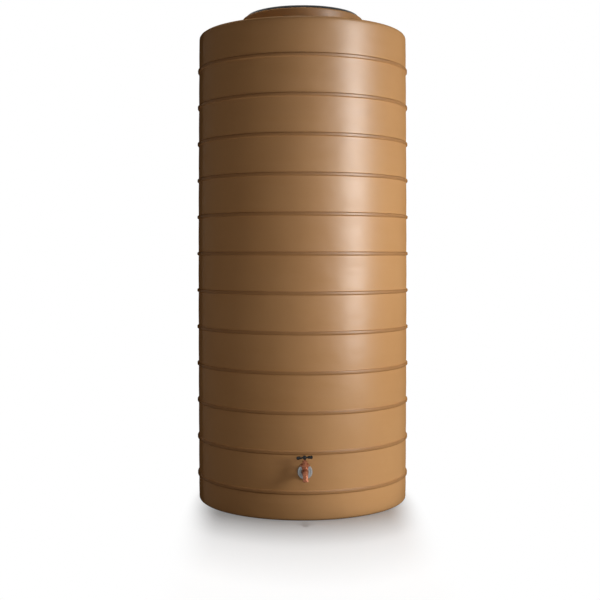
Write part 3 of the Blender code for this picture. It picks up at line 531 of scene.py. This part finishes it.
def make_lid():
    dome_foot = LID_RIM_TOP - 0.003
    skirt_end = NECK_TOP - LID_SKIRT_DEPTH
    dome_top = LID_RIM_TOP + LID_DOME_RISE
    top = [(0, dome_top)]
    for index in range(1, 40):
        radius = LID_DOME * index / 39
        share = min(max((radius - LID_HUB) / (LID_DOME - LID_HUB), 0.0), 1.0)
        top.append((radius, dome_top - (dome_top - dome_foot) * math.sin(share * math.pi / 2) ** 2))
    rest = [(LID_RADIUS - 0.012, dome_foot, 0.002), (LID_RADIUS - 0.008, LID_RIM_TOP, 0.002),
            (LID_RADIUS, LID_RIM_TOP, 0.004), (LID_RADIUS, LID_UNDERSIDE, 0.001),
            (LID_SKIRT, LID_UNDERSIDE, 0), (LID_SKIRT, skirt_end, 0.001),
            (LID_SKIRT_INSIDE, skirt_end, 0.001), (LID_SKIRT_INSIDE, dome_foot - 0.004, 0.002),
            (LID_HUB, LID_RIM_TOP + 0.008, 0), (0, LID_RIM_TOP + 0.008, 0)]
    profile = top + rounded([(*top[-1], 0)] + rest)[1:]
    bm = lathe_mesh(profile, 288)
    for vert in bm.verts:
        radius = math.hypot(vert.co.x, vert.co.y)
        if radius < LID_DOME + 0.001 and vert.co.z > dome_foot - 0.0005:
            grip = LID_RIM_TOP - 0.0005 + grip_height(radius, math.atan2(vert.co.y, vert.co.x))
            if grip > LID_RIM_TOP:
                vert.co.z = max(vert.co.z, grip)
    finish(to_object("lid_skin", bm, smooth=50), "lid_plastic", "lid", "tank_lid")
    inside, outside = 0.2115, LID_RADIUS - GAP
    low, high = NECK_TOP + GAP, LID_UNDERSIDE - GAP
    seal = lathe("seal_skin", [(outside, low, 0.0008), (outside, high, 0.0008), (inside, high, 0.0005),
                               (inside, low, 0.0005)], 160, closed=True)
    finish(seal, "seal_rubber", "lid_lift", "lid_seal")


# Fittings

def gasket_ring(name, hole, radius, frame_of, node):
    corners = [(radius, GAP, 0.0004), (radius, GASKET_TOP, 0.0004), (hole, GASKET_TOP, 0), (hole, GAP, 0)]
    finish(lathe(name, corners, FINE, frame_of, True), "seal_rubber", "tank", node)


def make_outlet():
    gasket_ring("outer_gasket_skin", OUTLET_HOLE, 0.0262, OUTLET, "outlet_outer_gasket")
    face, groove, end = CONNECTOR_FACE, CONNECTOR_FACE - 0.0012, -0.0231
    bore, barrel, flange = 0.0135, OUTLET_HOLE - GAP, 0.0272
    corners = [(bore, face, 0.0003), (0.0165, face, 0.0003), (0.0172, groove, 0.0003),
               (0.0198, groove, 0.0003), (0.0205, face, 0.0004), (flange, face, 0.0012),
               (flange, FLANGE_LOW, 0.0004), (barrel, FLANGE_LOW, 0), (barrel, end, 0.0006),
               (bore, end, 0.0004)]
    finish(lathe("connector_skin", corners, 96, OUTLET, True), "galvanised", "tank", "outlet_connector")


def make_overflow():
    gasket_ring("overflow_gasket_skin", OVERFLOW_HOLE, 0.035, OVERFLOW, "overflow_gasket")
    face, mouth, end = 0.0076, 0.04759, -0.0218
    bore, spigot, flange = 0.0205, OVERFLOW_HOLE - GAP, 0.0360
    corners = [(bore, mouth, 0.0004), (spigot - 0.0013, mouth, 0.0004), (spigot, mouth - 0.0013, 0.0004),
               (spigot, face, 0.0015), (flange, face, 0.0015), (flange, FLANGE_LOW, 0.0004),
               (spigot, FLANGE_LOW, 0), (spigot, end, 0.0006), (bore, end, 0.0004)]
    finish(lathe("overflow_skin", corners, 96, OVERFLOW, True), "overflow_plastic", "tank",
           "overflow_connector")


# Tap

BODY_TOP = 0.0255
SPOUT_MOUTH = -0.0235
SPOUT_REACH = 0.024
SPOUT_BEND = 0.015
BONNET_LOW = 0.0273
BONNET_TOP = 0.0464
BONNET_FLATS = 0.032
GLAND_LOW = 0.0401
GLAND_TOP = 0.0491
GLAND_FLATS = 0.020
HUB_LOW = 0.0511
HUB_HEIGHT = 0.0175
HUB_MIDDLE = HUB_LOW + HUB_HEIGHT / 2
HANDLE_HALF = 0.030
SPINDLE_TOP = HUB_MIDDLE + 0.0025


def spout_points(rise, mouth, pieces):
    """Middle line of the spout: level from the spindle's axis, round the bend and down to its mouth."""
    points = [(0, 0, rise)]
    for index in range(pieces + 1):
        angle = QUARTER * index / pieces
        points.append((0, -(SPOUT_REACH - SPOUT_BEND) - SPOUT_BEND * math.sin(angle),
                       rise - SPOUT_BEND + SPOUT_BEND * math.cos(angle)))
    points.append((0, -SPOUT_REACH, mouth))
    return points


def tapered(start, end, count):
    return [start + (end - start) * index / (count - 1) for index in range(count)]


def make_tap_body():
    chamber, lip_radius, stem = 0.0115, 0.0125, 0.0132
    column = lathe_mesh(rounded([(0, BODY_TOP, 0), (lip_radius, BODY_TOP, 0.0006),
                                 (lip_radius, BODY_TOP - 0.004, 0.0008), (chamber, BODY_TOP - 0.0056, 0.0008),
                                 (chamber, -0.0010, 0.006), (0.0075, -0.0095, 0.005), (0, -0.0125, 0)], 5),
                        FINE)
    end = -TAP_REACH - 0.018
    barrel = lathe_mesh(rounded([(0, 0, 0), (chamber, 0, 0), (lip_radius, -chamber, 0),
                                 (lip_radius, -TAP_REACH + GAP, 0.0006), (stem, -TAP_REACH - 0.0002, 0),
                                 (stem, end + 0.001, 0), (stem - 0.001, end, 0), (0, end, 0)]), FINE)
    bmesh.ops.transform(barrel, matrix=Matrix.Rotation(QUARTER, 4, "X"), verts=barrel.verts)
    path = spout_points(0.0090, SPOUT_MOUTH + 0.003, 14)
    spout = tube_mesh(path, tapered(0.0112, 0.0100, len(path)), 48)
    lip = lathe_mesh(rounded([(0, SPOUT_MOUTH + 0.006, 0), (0.0100, SPOUT_MOUTH + 0.0065, 0.0006),
                              (0.0110, SPOUT_MOUTH + 0.0052, 0.0006), (0.0110, SPOUT_MOUTH, 0.0012),
                              (0, SPOUT_MOUTH, 0)]), FINE)
    bmesh.ops.translate(lip, vec=(0, -SPOUT_REACH, 0), verts=lip.verts)
    body = fuse("tap_body_skin", [column, barrel, spout, lip], 0.00045, 4, SPINDLE)
    bore, bore_floor, seat_bore, passage = 0.0090, 0.005, 0.0046, -0.0032
    chamber_bore = lathe_mesh([(0, BODY_TOP + 0.002), (bore, BODY_TOP + 0.002), (bore, bore_floor),
                               (seat_bore, bore_floor), (seat_bore, passage), (0, passage)], 48)
    boolean(body, "DIFFERENCE", chamber_bore, SPINDLE)
    inlet = tube_mesh([(0, 0.057, 0), (0, 0.0167, 0), (0, 0.0074, passage), (0, -seat_bore, passage)],
                      [0.0058] * 4, 32)
    boolean(body, "DIFFERENCE", inlet, SPINDLE)
    way = spout_points(0.0107, SPOUT_MOUTH - 0.002, 10)
    boolean(body, "DIFFERENCE", tube_mesh(way, tapered(0.0054, 0.0072, len(way)), 32), SPINDLE, 60)
    finish(body, "gunmetal", "tank", "tap_body")


def make_headpiece():
    neck, corner = 0.0085, BONNET_FLATS / 2 / math.cos(math.pi / 6)
    bonnet = to_object("bonnet_skin", lathe_mesh(
        rounded([(neck, BONNET_TOP, 0), (neck, 0.0398, 0.0004), (0.0112, 0.0398, 0.0006),
                 (BONNET_FLATS / 2, 0.0352, 0), (corner, 0.0334, 0), (corner, BONNET_LOW + 0.0012, 0),
                 (0.0165, BONNET_LOW, 0), (0.0087, BONNET_LOW, 0), (0.0087, 0.0193, 0),
                 (0.0055, 0.0193, 0), (0.0055, BONNET_TOP, 0)]), 96, True), SPINDLE)
    corners_aside = SPINDLE @ Matrix.Rotation(math.radians(30), 4, "Z")
    boolean(bonnet, "INTERSECT", prism_mesh(BONNET_FLATS, 0.015, 0.05), corners_aside)
    bevel(bonnet, 0.00030)
    finish(bonnet, "gunmetal", "tank", "tap_bonnet")
    corner = GLAND_FLATS / 2 / math.cos(math.pi / 6)
    gland = to_object("gland_skin", lathe_mesh(
        rounded([(0.0043, GLAND_TOP, 0.0003), (0.0066, GLAND_TOP, 0.0004), (corner, GLAND_TOP - 0.0050, 0),
                 (corner, GLAND_LOW, 0), (neck + GAP, GLAND_LOW, 0), (neck + GAP, BONNET_TOP + GAP, 0),
                 (0.0043, BONNET_TOP + GAP, 0)]), 96, True), SPINDLE)
    boolean(gland, "INTERSECT", prism_mesh(GLAND_FLATS, 0.035, 0.055), SPINDLE)
    bevel(gland, 0.00025)
    finish(gland, "gunmetal", "tank", "gland_nut")


def make_spindle():
    spindle = lathe("spindle_skin",
                    [(0, SPINDLE_TOP, 0), (0.0032, SPINDLE_TOP, 0.0003), (0.0032, HUB_LOW - GAP, 0),
                     (0.0040, HUB_LOW - GAP, 0.0003), (0.0040, 0.0325, 0), (0.0052, 0.0317, 0.0003),
                     (0.0052, 0.0109, 0.0003), (0.0024, 0.0109, 0), (0.0024, 0.0215, 0), (0, 0.0215, 0)],
                    48, SPINDLE)
    finish(spindle, "gunmetal", "spindle", "tap_spindle")


def make_handle():
    hub = []
    for index in range(17):
        turn = math.radians(90 - 180 * index / 16)
        hub.append((0.0070 * math.cos(turn), HUB_MIDDLE + HUB_HEIGHT / 2 * math.sin(turn)))
    hub[0], hub[-1] = (0, HUB_MIDDLE + HUB_HEIGHT / 2), (0, HUB_LOW)
    tip_round, tip, thin, hub_side = 0.0040, 0.0063, 0.0028, 0.0045
    half = HANDLE_HALF - tip_round
    arm = []
    for index in range(9):
        turn = math.radians(90 - 90 * index / 8)
        arm.append((tip * math.cos(turn), half + tip_round * math.sin(turn)))
    arm[0] = (0, HANDLE_HALF)
    for index in range(1, 17):
        share = index / 16
        arm.append((thin + (tip - thin) * math.cos(share * QUARTER) ** 2, half - share * (half - hub_side)))
    arm += [(radius, -height) for radius, height in reversed(arm)]
    arms = lathe_mesh(arm, FINE)
    across = Matrix.Translation((0, 0, HUB_MIDDLE)) @ Matrix.Rotation(QUARTER, 4, "Y")
    bmesh.ops.transform(arms, matrix=across, verts=arms.verts)
    handle = fuse("handle_skin", [lathe_mesh(hub, FINE), arms], 0.00030, 4, HANDLE)
    seat = SPINDLE_TOP + 0.0025
    head, shank, stem = 0.0034, 0.0016, 0.0035
    socket = lathe_mesh([(0, 0.075), (head, 0.075), (head, seat), (shank, seat), (shank, SPINDLE_TOP + GAP),
                         (stem, SPINDLE_TOP + GAP), (stem, HUB_LOW - 0.002), (0, HUB_LOW - 0.002)], 48)
    boolean(handle, "DIFFERENCE", socket, HANDLE, 60)
    finish(handle, "handle_plastic", "spindle", "tee_handle")
    low = seat + GAP
    high, end = low + 0.0020, SPINDLE_TOP - 0.0077
    head, shank = head - GAP, shank - GAP
    screw = lathe("screw_skin", [(0, high, 0), (0.0022, high, 0.0008), (head, low + 0.0010, 0.0006),
                                 (head, low, 0.0001), (shank, low, 0), (shank, end, 0), (0, end, 0)], 48,
                  HANDLE)
    slot = bmesh.new()
    bmesh.ops.create_cube(slot, size=1.0, matrix=Matrix.Translation((0, 0, high))
                          @ Matrix.Diagonal((0.010, 0.0008, 0.0018, 1.0)))
    boolean(screw, "DIFFERENCE", slot, HANDLE)
    finish(screw, "screw_steel", "spindle", "handle_screw")


make_shell()
make_seat("outlet_seat", OUTLET, OUTLET_HOLE, 0.0254)
make_seat("overflow_seat", OVERFLOW, OVERFLOW_HOLE, 0.0342)
make_lid()
make_outlet()
make_overflow()
make_tap_body()
make_headpiece()
make_spindle()
make_handle()

# CAD pieces that keep their own mesh
for node, slot in (("outlet_inner_gasket", "seal_rubber"), ("outlet_backnut", "galvanised"),
                   ("overflow_backnut", "overflow_plastic"), ("bonnet_washer", "fibre"),
                   ("gland_packing", "tap_rubber"), ("jumper_valve", "gunmetal"),
                   ("tap_washer", "tap_rubber"), ("jumper_nut", "gunmetal")):
    for material_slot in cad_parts[node].material_slots:
        material_slot.material = LOOKS[slot]


# Studio

def only(light, *objects, include=True):
    """Link a lamp to some receivers alone, or to all but them."""
    receivers = bpy.data.collections.new(light.name + "_receivers")
    for obj in objects:
        receivers.objects.link(obj)
    light.light_linking.receiver_collection = receivers
    for entry in receivers.collection_objects:
        entry.light_linking.link_state = "INCLUDE" if include else "EXCLUDE"


def area_lamp(name, azimuth, distance, height, width, tall, watts, aim=None, colour=(1, 1, 1)):
    """Rectangular lamp round the tank, by azimuth in degrees to the right of the tap's side."""
    data = bpy.data.lights.new(name, "AREA")
    data.shape = "RECTANGLE"
    data.size = width
    data.size_y = tall
    data.energy = watts
    data.color = colour
    lamp = bpy.data.objects.new(name, data)
    turn = math.radians(azimuth)
    lamp.location = (distance * math.sin(turn), -distance * math.cos(turn), height)
    target = Vector((0, 0, height if aim is None else aim))
    lamp.rotation_euler = (target - lamp.location).to_track_quat("-Z", "Y").to_euler()
    bpy.context.scene.collection.objects.link(lamp)
    return lamp


def seen_as_white(look):
    """1 for the rays that show the backdrop itself: camera, glossy and transmission rays."""
    path = look.node("LightPath").outputs
    return look.math("MAXIMUM", path["Is Camera Ray"],
                     look.math("MAXIMUM", path["Is Glossy Ray"], path["Is Transmission Ray"]))


def make_floor():
    """Pale floor that keeps the tank's shadow near it and fades to white away from it."""
    mesh = bmesh.new()
    bmesh.ops.create_grid(mesh, x_segments=1, y_segments=1, size=60.0)
    floor = to_object("floor", mesh, Matrix.Translation((0, 0, -0.0002)))
    look = Look("floor", 0.9, specular=0.0)
    seen = seen_as_white(look)
    look.colour(look.mix(seen, (0.04, 0.04, 0.04), (0.92, 0.92, 0.92)))
    backdrop = look.node("Emission", {"Color": (1, 1, 1, 1), "Strength": 1.0}).outputs[0]
    least = 0.22
    aside = look.math("ABSOLUTE", look.node("SeparateXYZ", {"Vector": look.place}).outputs["X"])
    beside = look.node("MapRange", {"Value": aside, "From Min": 0.31, "From Max": 0.47, "To Min": least,
                                    "To Max": 1.0}, interpolation_type="SMOOTHSTEP").outputs["Result"]
    out_from_tank = look.node("VectorMath", {0: look.place}, operation="LENGTH").outputs["Value"]
    blend = look.math("MAXIMUM", beside, look.remap(out_from_tank, least, 1.0, 1.1, 1.9))
    blended = look.tree.nodes.new("ShaderNodeMixShader")
    for source, socket in ((look.math("MULTIPLY", blend, seen), blended.inputs[0]),
                           (look.shader.outputs[0], blended.inputs[1]), (backdrop, blended.inputs[2]),
                           (blended.outputs[0], look.tree.nodes["Material Output"].inputs["Surface"])):
        look.tree.links.new(source, socket)
    floor.data.materials.append(look.material)
    return floor


floor = make_floor()

# Lamps: azimuth, distance, height, width, tallness, watts
ROSE = (1.0, 0.93, 0.93)
AMBER = (1.0, 0.85, 0.76)
key = area_lamp("key", 68, 2.2, 1.8, 0.8, 0.8, 17.8)
key_low = area_lamp("key_low", 68, 2.2, 0.4, 0.8, 0.4, 7.8)
main = area_lamp("main", 44, 2.28, 0.8, 0.5, 0.5, 15.5)
front = area_lamp("front", 8, 2.2, 1.6, 0.5, 1.0, 3.7, colour=ROSE)
front_low = area_lamp("front_low", 8, 2.2, 0.4, 0.5, 0.5, 2.3, colour=ROSE)
rim = area_lamp("rim", -58, 2.5, 1.15, 0.8, 2.0, 2.4, colour=AMBER)
rim_low = area_lamp("rim_low", -50, 2.5, 0.35, 0.8, 0.5, 2.0, colour=AMBER)
BOUNCE_AZIMUTH = 40
bounce = area_lamp("bounce", BOUNCE_AZIMUTH, 0.62, 0.004, 1.0, 0.36, 0.6)
bounce.rotation_euler = (math.pi, 0, math.radians(BOUNCE_AZIMUTH))
# These two add gloss alone, one to the wall and one to the tap
glint = area_lamp("glint", 48.5, 1.5, 1.5, 0.22, 1.9, 400)
spark = area_lamp("spark", 50, 1.5, 0.12, 0.08, 0.12, 15)
# Above and behind
top = area_lamp("top", 0, 0.01, 4.2, 1.5, 1.5, 2.5, aim=0.0)
shoulder = area_lamp("shoulder", 0, 0.01, 2.9, 0.25, 0.25, 5.0, aim=0.0)
back = area_lamp("back", 180, 2.5, 1.1, 0.8, 1.8, 20)
# These two face straight down and light the floor alone
ground_near = area_lamp("ground_near", 180, 0.8, 15.0, 0.5, 2.6, 1120)
ground_far = area_lamp("ground_far", 180, 2.35, 15.0, 0.5, 5.7, 1400)
ground_near.rotation_euler = ground_far.rotation_euler = (0, 0, 0)
bounce.visible_camera = False
matt_lamps = (key, key_low, main, front, front_low, rim_low, bounce, back)
for lamp in matt_lamps:
    lamp.visible_glossy = False
glint.visible_diffuse = spark.visible_diffuse = False
for lamp in matt_lamps + (rim, top, shoulder):
    only(lamp, floor, include=False)
only(glint, *(bpy.data.objects[name] for name in ("shell_skin", "outlet_seat")))
only(spark, *(bpy.data.objects[name] for name in ("tap_body_skin", "bonnet_skin", "handle_skin")))
for lamp in (ground_near, ground_far):
    only(lamp, floor)

world = bpy.data.worlds.new("studio")
bpy.context.scene.world = world
world.use_nodes = True
nodes, links = world.node_tree.nodes, world.node_tree.links
background = nodes["Background"]
path = nodes.new("ShaderNodeLightPath").outputs
white = path["Is Camera Ray"]
for ray in ("Is Glossy Ray", "Is Transmission Ray"):
    either = nodes.new("ShaderNodeMath")
    either.operation = "MAXIMUM"
    links.new(white, either.inputs[0])
    links.new(path[ray], either.inputs[1])
    white = either.outputs[0]
strength = nodes.new("ShaderNodeMapRange")
strength.inputs["To Min"].default_value = 0.012
strength.inputs["To Max"].default_value = 1.0
links.new(white, strength.inputs["Value"])
links.new(strength.outputs["Result"], background.inputs["Strength"])
background.inputs["Color"].default_value = (1, 1, 1, 1)

# Camera, at the photograph's place
PICTURE_PX = 600
FOCAL_PX = 1040.3
CENTRE_PX = (302.5, 255.98)      # where the lens points, from the picture's top left
TANK_UNIT = 0.42                 # the camera was fitted in units of the tank's radius
turn = -math.asin(0.0090 / TANK_UNIT)
distance = 10.124 * TANK_UNIT
camera_data = bpy.data.cameras.new("camera")
camera_data.sensor_width = 36.0
camera_data.lens = FOCAL_PX / PICTURE_PX * camera_data.sensor_width
camera_data.shift_x = (PICTURE_PX / 2 - CENTRE_PX[0]) / PICTURE_PX
camera_data.shift_y = (CENTRE_PX[1] - PICTURE_PX / 2) / PICTURE_PX
camera = bpy.data.objects.new("camera", camera_data)
camera.location = (distance * math.sin(turn), -distance * math.cos(turn), 2.326 * TANK_UNIT)
camera.rotation_euler = (QUARTER, 0, turn)
bpy.context.scene.collection.objects.link(camera)
bpy.context.scene.camera = camera
bpy.context.scene.view_settings.view_transform = "Standard"
